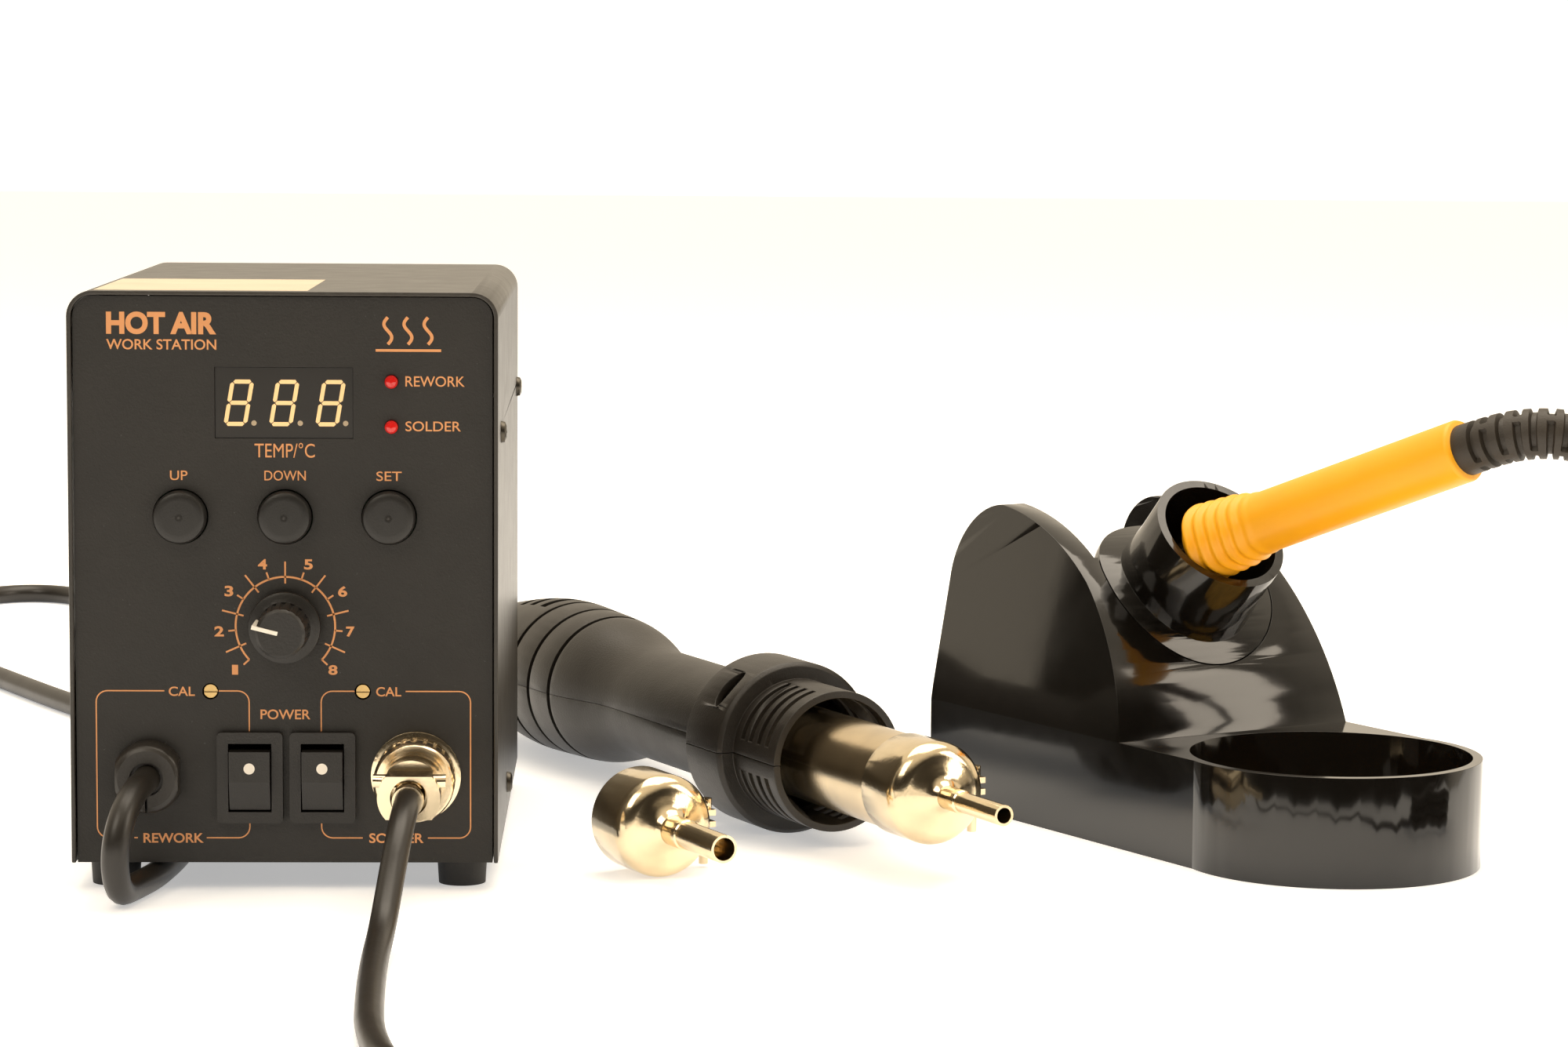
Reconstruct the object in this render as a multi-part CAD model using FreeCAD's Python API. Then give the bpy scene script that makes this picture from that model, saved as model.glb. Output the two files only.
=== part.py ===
"""Hot air and soldering station: case, hot air handpiece, spare nozzle, soldering iron in its stand."""
import FreeCAD, Part
import math
import os

from FreeCAD import Placement, Rotation, Vector

# ---- Case (mm). Layout frame: X from the case's middle, Y back from the panel's rim, Z up from the floor.
CASE_W = 98.6
CASE_D = 150.0
CASE_BOTTOM = 6.6
CASE_TOP = 139.2
SHEET = 1.0
COVER_RADIUS = 6.0
PANEL_FACE = 1.0
PANEL_BACK = 2.5
REAR_WALL = 148.2

# ---- Panel controls (u across from the middle, z above the floor)
WINDOW = (-15.7, 16.0, 105.4, 121.8)
LED_U = 24.8
LED_Z = (118.6, 108.2)
BUTTON_U = (-23.7, 0.3, 24.2)
BUTTON_Z = 87.3
BUTTON_R = 6.1
DIAL = (0.3, 62.0)
CAL_U = (-17.1, 18.0)
CAL_Z = 46.7
ROCKER_U = (-8.0, 8.75)
ROCKER_Z = 26.7
ROCKER_TILT = 9.0
BUSHING = (-31.4, 27.0)
CONNECTOR = (30.3, 27.1)

# ---- Hot air handpiece: its own X runs along the barrel to the nozzle, 0 at the guard ring's back
GUN_AT = (113.0, 92.5, 21.8)
GUN_HEADING = -65.3
RING_R = 21.7
RING_LEN = 19.9
CAGE_R = 17.5
CAGE_END = 42.5
NECK_R = 14.6
BULGE = [(-60.0, 14.8), (-66.0, 15.3), (-72.0, 16.4), (-79.0, 18.2), (-86.0, 19.6), (-94.0, 20.3), (-106.0, 20.8),
         (-120.0, 21.2), (-134.0, 20.2), (-147.0, 18.2), (-157.0, 16.4)]
BULGE_WALL = 2.1
FAN_AT = -112.0
HANDLE_END = -161.0
HEATER_R = 11.6
COLLAR_AT = 78.5
SPARE_AT = (81.9, 29.3, 12.4)
SPARE_HEADING = -64.9

# ---- Stand: its own X runs forward to the sponge well, 0 at the well's centre
STAND_AT = (250.2, 39.7)
STAND_HEADING = -60.5
TRAY_R = 36.6
TRAY_H = 26.4
WELL_R = 34.2
FACE_X = -38.0
STAND_HALF = 35.8
STAND_BACK = -122.0
STAND_TOP = 79.4
CHEEK_LEAN = 8.0
CHEEK_T = 7.0
WEB_T = 5.0
LIP = (-67.5, 69.0)
TUBE_ELEVATION = 46.0
MOUTH = (-45.3, 75.9)
TUBE_R = 17.5
TUBE_BORE = 15.3
TUBE_LEN = 30.0
DISC_R = 23.85
DISC_T = 3.0

# ---- Soldering iron: its own X runs from the grip's end to the cable end
IRON_AT = (223.6, 77.5, 73.3)
IRON_DIR = (0.664, -0.660, 0.351)
IRON_LEN = 82.0

# ---- Cables
GUN_CABLE_D = 6.3
IRON_CABLE_D = 6.0
COIL_AT = (350.0, -22.0)
COIL_MID_R = 32.0
COIL_TURNS = 3

# Middle of the whole kit's floor rectangle, which becomes the origin
CENTRE = (141.32, 124.15)

OUT = Vector(0, -1, 0)
os.makedirs("parts", exist_ok=True)
placed = {}


def box(x0, x1, y0, y1, z0, z1):
    return Part.makeBox(x1 - x0, y1 - y0, z1 - z0, Vector(x0, y0, z0))


def rod(r, length, base, direction):
    return Part.makeCylinder(r, length, Vector(*base), Vector(*direction))


def turned(profile):
    """A closed outline of (along X, radius) turned about X."""
    points = [Vector(a, r, 0) for a, r in profile]
    face = Part.Face(Part.makePolygon(points + points[:1]))
    solid = face.revolve(Vector(0, 0, 0), Vector(1, 0, 0), 360)
    return solid if solid.Volume > 0 else solid.reversed()


def spun(edges):
    """A closed loop of edges in the (along X, radius) plane turned about X."""
    face = Part.Face(Part.Wire(Part.__sortEdges__(edges)))
    solid = face.revolve(Vector(0, 0, 0), Vector(1, 0, 0), 360)
    return solid if solid.Volume > 0 else solid.reversed()


def straight(points):
    """Straight edges through (along X, radius) points."""
    return [Part.makeLine(Vector(*a, 0), Vector(*b, 0)) for a, b in zip(points, points[1:])]


def curved(points):
    """One smooth edge through (along X, radius) points."""
    line = Part.BSplineCurve()
    line.interpolate([Vector(a, r, 0) for a, r in points])
    return line.toShape()


def pipe(a0, a1, r_out, r_in):
    return turned([(a0, r_in), (a1, r_in), (a1, r_out), (a0, r_out)])


def prism_x(outline, x0, x1):
    """An outline of (y, z) drawn out along X."""
    points = [Vector(x0, y, z) for y, z in outline]
    return Part.Face(Part.makePolygon(points + points[:1])).extrude(Vector(x1 - x0, 0, 0))


def prism_y(outline, y0, y1):
    """An outline of (x, z) drawn out along Y."""
    points = [Vector(x, y0, z) for x, z in outline]
    return Part.Face(Part.makePolygon(points + points[:1])).extrude(Vector(0, y1 - y0, 0))


def put(shape, base, direction):
    """Turns +X to the direction and moves the shape to the base."""
    moved = shape.copy()
    turn = Rotation(Vector(1, 0, 0), Vector(*direction))
    moved.Placement = Placement(Vector(*base), turn).multiply(moved.Placement)
    return moved


def headed(shape, at, heading):
    """Turns about Z to the heading and moves the shape to the place."""
    moved = shape.copy()
    turn = Rotation(Vector(0, 0, 1), heading)
    moved.Placement = Placement(Vector(*at), turn).multiply(moved.Placement)
    return moved


def fused(shapes):
    whole = shapes[0]
    if len(shapes) > 1:
        whole = whole.multiFuse(shapes[1:])
    return whole.removeSplitter()


def save(node, shape):
    """Moves a finished piece from the layout frame to the kit's frame and writes it."""
    moved = shape.copy()
    moved.translate(Vector(-CENTRE[0], -CENTRE[1], 0))
    moved.exportStep("parts/" + node + ".step")
    placed[node] = moved


def arcs_path(points, name, diameter):
    """Straight runs joined by tangent arcs, each as large as its two runs allow."""
    pts = [Vector(*p) for p in points]
    edges = []
    radii = []
    length = 0.0
    last = pts[0]
    for before, here, after in zip(pts, pts[1:], pts[2:]):
        u_in = (here - before).normalize()
        u_out = (after - here).normalize()
        half = u_in.getAngle(u_out) / 2
        reach = 0.45 * min((here - before).Length, (after - here).Length)
        radius = reach / math.tan(half)
        start = here - u_in * reach
        end = here + u_out * reach
        bend = (u_out - u_in).normalize()
        centre = here + bend * (radius / math.cos(half))
        middle = centre - bend * radius
        edges.append(Part.LineSegment(last, start).toShape())
        edges.append(Part.Arc(start, middle, end).toShape())
        radii.append(radius)
        length += (start - last).Length + 2 * half * radius
        last = end
    edges.append(Part.LineSegment(last, pts[-1]).toShape())
    length += (pts[-1] - last).Length
    print(name, "length %.0f" % length, "radii in diameters",
          " ".join("%.1f" % (r / diameter) for r in radii))
    return Part.Wire(edges), length


def tube(points, diameter, name):
    """A cable's plain tube along its route."""
    wire, length = arcs_path(points, name, diameter)
    along = Vector(*points[1]) - Vector(*points[0])
    circle = Part.Wire([Part.Circle(Vector(*points[0]), along, diameter / 2).toShape()])
    solid = wire.makePipeShell([circle], True, False)
    section = math.pi * diameter ** 2 / 4
    print(name, "volume over section times length %.3f" % (solid.Volume / section / length))
    return solid


# ---- Case ------------------------------------------------------------------------------------
def make_case():
    half = CASE_W / 2
    outer = box(-half, half, 0, CASE_D, CASE_BOTTOM, CASE_TOP)
    top_edges = [e for e in outer.Edges
                 if abs(e.BoundBox.ZMin - CASE_TOP) < 0.01 and e.BoundBox.YLength > 100]
    outer = outer.makeFillet(COVER_RADIUS, top_edges)
    inner = box(-half + SHEET, half - SHEET, -1, CASE_D + 1, CASE_BOTTOM - 1, CASE_TOP - SHEET)
    top_edges = [e for e in inner.Edges
                 if abs(e.BoundBox.ZMin - CASE_TOP + SHEET) < 0.01 and e.BoundBox.YLength > 100]
    inner = inner.makeFillet(COVER_RADIUS - SHEET, top_edges)
    cover = outer.cut(inner)

    reach = half - SHEET - 0.3
    low = CASE_BOTTOM
    pan = [box(-reach, reach, PANEL_BACK, REAR_WALL + 1.2, low, low + SHEET),
           box(-reach, reach, REAR_WALL, REAR_WALL + 1.2, low, CASE_TOP - 7)]
    for side in (-1, 1):
        for y0, y1, top in ((PANEL_BACK, REAR_WALL, 20), (14, 28, 114), (133, REAR_WALL, 114)):
            x0, x1 = sorted((side * reach, side * (reach - SHEET)))
            pan.append(box(x0, x1, y0, y1, low, top))
    pan = fused(pan)
    pan = pan.cut(box(12.0, 41.0, REAR_WALL - 1, CASE_D, 29.0, 63.5))
    slots = [box(-38, -8, REAR_WALL - 1, CASE_D, z, z + 3) for z in range(36, 108, 8)]
    slots += [box(x, x + 3, 100, 130, low - 1, low + 2) for x in range(-10, 34, 7)]
    pan = pan.cut(Part.makeCompound(slots))

    screws = []
    heads = [(21.0, 105.5), (140.0, 107.5), (65.0, 14.7)]
    for side in (-1, 1):
        for y, z in heads:
            hole = rod(1.65, 6, (side * (half - 4), y, z), (side, 0, 0))
            cover = cover.cut(hole)
            pan = pan.cut(hole)
            screw = turned([(-4, 0), (-4, 1.45), (0, 1.45), (0, 2.6), (0.9, 2.4), (1.3, 1.6), (1.3, 0)])
            cross = Part.makeCompound([box(0.6, 2, -1.4, 1.4, -0.3, 0.3), box(0.6, 2, -0.3, 0.3, -1.4, 1.4)])
            screws.append(put(screw.cut(cross), (side * half, y, z), (side, 0, 0)))

    feet = []
    for x in (-40.5, 40.5):
        for y in (12.0, 138.0):
            foot = turned([(0, 0), (0, 5.9), (CASE_BOTTOM, 5.5), (CASE_BOTTOM, 0)])
            feet.append(put(foot, (x, y, CASE_BOTTOM), (0, 0, -1)))
    save("case_cover", cover)
    save("chassis_pan", pan)
    save("case_screws", Part.makeCompound(screws))
    save("feet", Part.makeCompound(feet))


def make_panel():
    reach = CASE_W / 2 - SHEET - 0.3
    plate = box(-reach, reach, PANEL_FACE, PANEL_BACK, CASE_BOTTOM, CASE_TOP - 1.2)
    corners = [e for e in plate.Edges
               if e.BoundBox.YLength > 1 and e.BoundBox.ZMin > CASE_TOP - 2 and e.BoundBox.ZLength < 0.1]
    plate = plate.makeFillet(COVER_RADIUS - SHEET - 0.3, corners)
    cuts = [box(WINDOW[0], WINDOW[1], 0, 4, WINDOW[2], WINDOW[3]),
            rod(3.6, 4, (DIAL[0], 0, DIAL[1]), (0, 1, 0)),
            rod(6.6, 4, (BUSHING[0], 0, BUSHING[1]), (0, 1, 0)),
            rod(8.05, 4, (CONNECTOR[0], 0, CONNECTOR[1]), (0, 1, 0))]
    cuts += [rod(1.6, 4, (LED_U, 0, z), (0, 1, 0)) for z in LED_Z]
    cuts += [rod(BUTTON_R + 0.3, 4, (u, 0, BUTTON_Z), (0, 1, 0)) for u in BUTTON_U]
    cuts += [rod(1.9, 4, (u, 0, CAL_Z), (0, 1, 0)) for u in CAL_U]
    cuts += [box(u - 6.6, u + 6.6, 0, 4, ROCKER_Z - 9.8, ROCKER_Z + 9.8) for u in ROCKER_U]
    save("front_panel", plate.cut(Part.makeCompound(cuts)))


def make_controls():
    u0, u1, z0, z1 = WINDOW
    module = box(u0 + 0.1, u1 - 0.1, PANEL_FACE + 0.5, 9.0, z0 + 0.1, z1 - 0.1)
    module = module.fuse(box(u0 - 2, u1 + 2, PANEL_BACK, 9.0, z0 - 1.5, z1 + 1.5))
    save("display_module", module.removeSplitter())

    board = box(-42, 42, 12.2, 13.8, 40.0, 128.0)
    board = board.cut(rod(4.2, 4, (DIAL[0], 11, DIAL[1]), (0, 1, 0)))
    save("control_board", board)

    bulbs = []
    for z in LED_Z:
        bulb = turned([(-8.5, 0), (-8.5, 1.5), (1.2, 1.5), (1.9, 1.1), (2.2, 0)])
        bulbs.append(put(bulb, (LED_U, PANEL_FACE, z), OUT))
    save("indicator_leds", Part.makeCompound(bulbs))

    switches = []
    for u, name in zip(BUTTON_U, ("up_button", "down_button", "set_button")):
        cap = turned([(-4.0, 0), (-4.0, 2.2), (-1.5, 2.2), (-1.5, BUTTON_R), (2.6, BUTTON_R),
                      (3.3, BUTTON_R - 0.4), (3.6, BUTTON_R - 1.2), (3.7, 0)])
        save(name, put(cap, (u, PANEL_FACE, BUTTON_Z), OUT))
        body = box(u - 3, u + 3, 8.2, 12.2, BUTTON_Z - 3, BUTTON_Z + 3)
        switches.append(body.fuse(rod(1.6, 1.8, (u, 6.5, BUTTON_Z), (0, 1, 0))).removeSplitter())
    save("tact_switches", Part.makeCompound(switches))

    pot = turned([(-11.1, 0), (-11.1, 8.0), (-3.0, 8.0), (-3.0, 3.5), (2.2, 3.5), (2.2, 3.0), (11.5, 3.0), (11.5, 0)])
    save("air_potentiometer", put(pot, (DIAL[0], PANEL_FACE, DIAL[1]), OUT))

    skirt = turned([(2.6, 3.05), (12.0, 3.05), (12.0, 0), (15.0, 0), (15.0, 5.0), (14.4, 5.7),
                    (4.4, 6.1), (3.8, 8.2), (2.6, 8.3)])
    knob = skirt
    for step in range(18):
        turn = math.radians(20 * step + 10)
        knob = knob.cut(rod(0.6, 11.6, (4.6, 6.2 * math.cos(turn), 6.2 * math.sin(turn)), (1, 0, 0)))
    knob = put(knob, (DIAL[0], PANEL_FACE, DIAL[1]), OUT)
    mark = box(14.6, 15.3, 0.6, 5.2, -0.45, 0.45).fuse(box(4.5, 15.3, 5.2, 6.7, -0.45, 0.45)).removeSplitter()
    mark = put(mark, (0, 0, 0), OUT)
    spoke = mark.BoundBox.Center
    angle = math.degrees(math.atan2(spoke.z, spoke.x))
    mark.rotate(Vector(0, 0, 0), Vector(0, -1, 0), 166.0 - angle)
    mark.translate(Vector(DIAL[0], PANEL_FACE, DIAL[1]))
    save("air_knob", knob.cut(mark))
    save("knob_pointer", mark)

    bodies = []
    for u, name in zip(CAL_U, ("rework_cal_screw", "solder_cal_screw")):
        trimmer = box(u - 3.3, u + 3.3, 6.8, 12.2, CAL_Z - 3.3, CAL_Z + 3.3)
        bodies.append(trimmer.cut(rod(1.3, 4, (u, 6, CAL_Z), (0, 1, 0))))
        screw = turned([(-7.2, 0), (-7.2, 1.25), (-5.0, 1.25), (-5.0, 1.55), (-0.4, 1.55), (-0.4, 0)])
        screw = screw.cut(box(-1.1, 1, -2, 2, -0.3, 0.3))
        save(name, put(screw, (u, PANEL_FACE, CAL_Z), OUT))
    save("cal_trimmers", Part.makeCompound(bodies))


def make_switches():
    """Two rocker power switches: bezel housing, and a rocker that rocks about X."""
    for u, word in zip(ROCKER_U, ("rework", "solder")):
        housing = box(u - 7.6, u + 7.6, -0.7, PANEL_FACE, ROCKER_Z - 10.6, ROCKER_Z + 10.6)
        rim = [e for e in housing.Edges if e.BoundBox.YLength > 1]
        housing = housing.makeFillet(1.1, rim)
        housing = housing.fuse(box(u - 6.5, u + 6.5, PANEL_FACE, 17.0, ROCKER_Z - 9.6, ROCKER_Z + 9.6))
        housing = housing.cut(box(u - 5.0, u + 5.0, -1, 12.0, ROCKER_Z - 8.0, ROCKER_Z + 8.0))
        housing = housing.removeSplitter()
        rocker = prism_x([(-2.3, 0), (-1.3, 7.0), (5.0, 6.4), (6.5, 2.0), (6.5, -2.0), (5.0, -6.4), (-1.3, -7.0)],
                         -4.7, 4.7)
        rocker.translate(Vector(0, -2.6, 0))
        pin = rod(1.0, 13.0, (-6.5, 0, 0), (1, 0, 0))
        rocker = rocker.fuse(rod(0.95, 12.4, (-6.2, 0, 0), (1, 0, 0))).removeSplitter()
        rocker.rotate(Vector(0, 0, 0), Vector(1, 0, 0), ROCKER_TILT)
        pin.translate(Vector(u, 2.6, ROCKER_Z))
        rocker.translate(Vector(u, 2.6, ROCKER_Z))
        save(word + "_switch_housing", housing.cut(pin))
        save(word + "_rocker", rocker)


def make_connectors():
    bushing = turned([(-9, 0), (-9, 6.2), (0, 6.2), (0, 8.3), (3.6, 8.3), (5.4, 7.6), (6.0, 6.6), (6.0, 0)])
    bushing = bushing.cut(Part.makeCompound([box(-10, 7, 7.2, 9, -9, 9), box(-10, 7, -9, -7.2, -9, 9)]))
    bushing = bushing.cut(rod(3.9, 2.0, (4.4, 0, 0), (1, 0, 0)))
    bushing = bushing.cut(box(2.5, 7, -0.3, 0.3, -9, -3.9))
    bushing = put(bushing, (BUSHING[0], PANEL_FACE, BUSHING[1]), OUT)
    save("cable_bushing", bushing)

    socket = turned([(-14, 0), (-14, 6.8), (-2.4, 6.8), (-2.4, 9.6), (-1.5, 9.6), (-1.5, 8.0), (0, 8.0), (0, 10.4),
                     (1.2, 10.4), (1.6, 8.0), (7.0, 8.0), (7.0, 6.6), (1.0, 6.6), (1.0, 0)])
    socket = put(socket, (CONNECTOR[0], PANEL_FACE, CONNECTOR[1]), OUT)
    save("iron_socket", socket)

    plug = turned([(1.2, 0), (1.2, 6.5), (11.5, 6.5), (11.5, 7.3), (13.0, 7.3), (13.0, 6.9), (21.0, 6.9),
                   (21.0, 7.1), (31.0, 7.1), (31.0, 4.2), (24.0, 4.2), (24.0, 0)])
    plug = plug.cut(box(22.0, 32.0, -9, 9, 4.9, 9)).cut(box(22.0, 32.0, -9, 9, -9, -4.9))
    plug = plug.fuse(rod(1.5, 16.4, (27.5, -8.2, 3.4), (0, 1, 0))).cut(rod(3.6, 9, (24, 0, 0), (1, 0, 0)))
    sleeve = pipe(24.0, 36.0, 3.5, IRON_CABLE_D / 2)
    lead = rod(IRON_CABLE_D / 2, 12.0, (24.0, 0, 0), (1, 0, 0))
    plug = plug.fuse(sleeve).fuse(lead).removeSplitter()
    save("iron_plug", put(plug, (CONNECTOR[0], PANEL_FACE, CONNECTOR[1]), OUT))

    nut = turned([(2.2, 8.1), (8.6, 8.1), (8.6, 6.6), (11.3, 6.6), (11.3, 8.7), (10.3, 9.35), (3.0, 9.35), (2.2, 9.0)])
    knurl = []
    for step in range(24):
        turn = math.radians(15 * step)
        knurl.append(rod(0.4, 6.0, (3.6, 9.45 * math.cos(turn), 9.45 * math.sin(turn)), (1, 0, 0)))
    nut = nut.cut(Part.makeCompound(knurl))
    save("plug_coupling_nut", put(nut, (CONNECTOR[0], PANEL_FACE, CONNECTOR[1]), OUT))


def make_insides():
    floor = CASE_BOTTOM + SHEET
    core = fused([box(-42, -4, 60, 96, floor, floor + 6), box(-42, -4, 60, 96, floor + 28, floor + 34),
                  box(-42, -36, 60, 96, floor, floor + 34), box(-10, -4, 60, 96, floor, floor + 34),
                  box(-29, -17, 60, 96, floor, floor + 34)])
    coil = box(-35.7, -10.3, 52, 104, floor + 6.3, floor + 27.7)
    coil = coil.cut(box(-29.2, -16.8, 59.8, 96.2, floor + 5, floor + 29))
    save("transformer", core.fuse(coil).removeSplitter())

    board = fused([box(0, 42, 40, 120, floor + 4, floor + 5.6),
                   box(6, 20, 50, 62, floor + 5.6, floor + 22),
                   rod(7, 24, (30, 60, floor + 5.6), (0, 0, 1)),
                   box(8, 34, 84, 100, floor + 5.6, floor + 18),
                   rod(2.5, 4, (4, 44, floor), (0, 0, 1)), rod(2.5, 4, (38, 44, floor), (0, 0, 1)),
                   rod(2.5, 4, (4, 116, floor), (0, 0, 1)), rod(2.5, 4, (38, 116, floor), (0, 0, 1))])
    save("power_board", board)

    rear = REAR_WALL + 1.2
    inlet = box(12.3, 40.7, 124.0, rear, 29.3, 63.2)
    inlet = inlet.fuse(box(10.5, 42.5, rear, rear + 1.6, 27.0, 65.5)).removeSplitter()
    inlet = inlet.cut(box(15.0, 38.0, 132.0, rear + 3, 32.0, 48.0))
    inlet = inlet.cut(box(15.7, 37.3, 128.0, rear + 3, 51.7, 61.3))
    pins = [box(25.5, 27.5, 131, rear - 4.5, 41, 45), box(19.0, 21.0, 131, rear - 4.5, 35.5, 39.5),
            box(32.0, 34.0, 131, rear - 4.5, 35.5, 39.5)]
    save("mains_inlet", fused([inlet] + pins))
    drawer = box(16.0, 37.0, 129.0, rear + 2.4, 52.0, 61.0)
    drawer = drawer.cut(box(17.6, 35.4, 131.0, rear - 3.0, 54.0, 62.0))
    save("fuse_drawer", drawer)


# ---- Hot air handpiece -------------------------------------------------------------------------
def gun(shape):
    return headed(shape, GUN_AT, GUN_HEADING)


def halves(shape):
    """Upper and lower halves of a body that parts along its level middle plane."""
    upper = shape.common(box(-250, 120, -40, 40, 0.06, 40))
    lower = shape.common(box(-250, 120, -40, 40, -40, -0.06))
    return upper, lower


def sector(a0, a1, r_in, r_out, first, last):
    """Part of a ring about X between two angles, counted from +Y towards +Z."""
    face = Part.Face(Part.makePolygon([Vector(a0, r_in, 0), Vector(a1, r_in, 0), Vector(a1, r_out, 0),
                                       Vector(a0, r_out, 0), Vector(a0, r_in, 0)]))
    solid = face.revolve(Vector(0, 0, 0), Vector(1, 0, 0), last - first)
    solid.rotate(Vector(0, 0, 0), Vector(1, 0, 0), first)
    return solid


def make_handle():
    inner = [(a, r - BULGE_WALL) for a, r in BULGE]
    last = BULGE[-1]
    tail = [last, (-160.0, last[1] - 0.9), (HANDLE_END, last[1] - 2.4), (HANDLE_END, 6.0), (HANDLE_END + 2.2, 6.0),
            (HANDLE_END + 2.2, inner[-1][1] - 2.0), inner[-1]]
    neck = [inner[0], (-0.3, NECK_R - 2.0), (-0.3, NECK_R), BULGE[0]]
    shell = spun([curved(BULGE), curved(inner)] + straight(tail) + straight(neck))
    grooves = [pipe(a, a + 1.8, r + 4, r - 1.0) for a, r in ((-91.0, 20.1), (-103.5, 20.7), (-116.0, 21.1))]
    shell = shell.cut(Part.makeCompound(grooves))
    upper, lower = halves(shell)
    upper = upper.cut(Part.makeCompound([sector(a, a + 3.6, 12, 24, 68, 112) for a in (-140, -132, -124)]))
    screws = []
    for a, top in ((-40.0, NECK_R + 0.1), (-92.0, 20.2), (-146.0, 18.4)):
        lower = lower.cut(Part.makeCompound([rod(2.6, 2.6, (a, 0, -top - 1.0), (0, 0, 1)),
                                             rod(1.3, 6, (a, 0, -top), (0, 0, 1))]))
        head = rod(2.4, 1.0, (a, 0, -top + 0.3), (0, 0, 1)).cut(box(a - 1.5, a + 1.5, -0.3, 0.3, -30, -top + 0.8))
        length = 5.0 if a < -60 else 4.0
        screws.append(head.fuse(rod(1.2, length, (a, 0, -top + 1.3), (0, 0, 1))).removeSplitter())
    save("handle_upper_shell", gun(upper))
    save("handle_lower_shell", gun(lower))
    save("handle_screws", gun(Part.makeCompound(screws)))


def make_guard():
    inner = NECK_R - 2.0
    lips = turned([(0, inner), (1.8, inner), (1.8, RING_R - 1.8), (RING_LEN - 1.8, RING_R - 1.8),
                   (RING_LEN - 1.8, CAGE_R - 1.8), (CAGE_END, CAGE_R - 1.8), (CAGE_END, CAGE_R),
                   (RING_LEN, CAGE_R), (RING_LEN, RING_R - 1.0), (RING_LEN - 1.0, RING_R), (1.0, RING_R),
                   (0, RING_R - 1.0)])
    cuts = []
    for middle in (45, 135, 225, 315):
        for step in range(4):
            a = RING_LEN + 3.0 + 4.4 * step
            cuts.append(sector(a, a + 2.1, CAGE_R - 3, CAGE_R + 1, middle - 32, middle + 32))
    for middle in (45, -135):
        low = RING_R - 6
        eye = Part.Ellipse(Vector(12.5, 5.6, low), Vector(15.1, 0, low), Vector(12.5, 0, low)).toShape()
        eye = Part.Face(Part.Wire([eye])).extrude(Vector(0, 0, 12))
        eye.rotate(Vector(0, 0, 0), Vector(1, 0, 0), middle)
        cuts.append(eye)
    upper, lower = halves(lips.cut(Part.makeCompound(cuts)))
    save("guard_upper_half", gun(upper))
    save("guard_lower_half", gun(lower))


def make_heater():
    barrel = fused([pipe(-30, COLLAR_AT + 11.0, HEATER_R, HEATER_R - 0.6),
                    pipe(-30, -27.5, NECK_R - 2.05, HEATER_R - 0.6)])
    save("heater_tube", gun(barrel))
    save("mica_sleeve", gun(pipe(-24, 84, HEATER_R - 0.8, HEATER_R - 1.2)))
    core = [rod(4.6, 100, (-20, 0, 0), (1, 0, 0))]
    core += [pipe(a, a + 1.6, HEATER_R - 1.4, 4.6) for a in range(-18, 80, 8)]
    core = fused(core).cut(rod(1.8, 110, (-25, 0, 0), (1, 0, 0)))
    save("heater_core", gun(core))


def make_fan():
    frame = fused([pipe(FAN_AT - 16, FAN_AT + 16, 17.9, 16.7), pipe(FAN_AT - 30, FAN_AT - 14, 7.0, 1.2),
                   rod(7.0, 2.0, (FAN_AT - 30, 0, 0), (1, 0, 0)), rod(1.0, 42, (FAN_AT - 30, 0, 0), (1, 0, 0))])
    spokes = [box(FAN_AT - 16, FAN_AT - 14, 6.5, 17.0, -1.5, 1.5) for _ in range(4)]
    for step, spoke in enumerate(spokes):
        spoke.rotate(Vector(0, 0, 0), Vector(1, 0, 0), 90 * step + 45)
    save("fan_frame", gun(fused([frame] + spokes)))

    blades = [pipe(FAN_AT - 10, FAN_AT + 10, 5.0, 1.05)]
    for step in range(7):
        blade = box(FAN_AT - 9, FAN_AT + 9, 4.5, 15.9, -0.6, 0.6)
        blade.rotate(Vector(FAN_AT, 0, 0), Vector(0, 1, 0), 38)
        blade.rotate(Vector(0, 0, 0), Vector(1, 0, 0), 360 / 7 * step)
        blades.append(blade)
    wheel = fused(blades).common(pipe(FAN_AT - 10, FAN_AT + 10, 15.9, 1.05))
    save("fan_impeller", gun(wheel))


def nozzle_shapes(spout_r):
    """A nozzle's collar with its clamp ears, rounded cup and spout, and the screw that closes the ears."""
    bore = HEATER_R + 0.05
    outer = bore + 0.7
    shoulder = Part.Arc(Vector(12.5, outer, 0), Vector(15.8, outer - 1.3, 0), Vector(17.0, 8.6, 0)).toShape()
    rest = [(17.0, 8.6), (18.6, spout_r + 1.6), (20.0, spout_r + 0.35), (27.0, spout_r + 0.35), (27.4, spout_r),
            (46.5, spout_r), (46.5, spout_r - 0.65), (19.4, spout_r - 0.65), (16.3, 8.2), (15.0, 10.4), (12.2, bore),
            (0, bore), (0, outer), (12.5, outer)]
    body = spun([shoulder] + straight(rest))
    ears = [box(1.6, 9.6, 9.8, 16.0, 0.7, 2.1), box(1.6, 9.6, 9.8, 16.0, -2.1, -0.7)]
    body = fused([body] + ears)
    body = body.cut(rod(bore, 12.4, (-0.4, 0, 0), (1, 0, 0)))
    body = body.cut(box(-1, 11.0, 10, 18, -0.7, 0.7))
    body = body.cut(rod(1.25, 12, (5.6, 14.6, -6), (0, 0, 1)))
    screw = [rod(1.15, 15.0, (5.6, 14.6, -11.5), (0, 0, 1)), rod(2.0, 2.2, (5.6, 14.6, 2.15), (0, 0, 1))]
    screw = fused(screw).cut(box(2, 9, 14.2, 15.0, 3.6, 6))
    return body, screw


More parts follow.
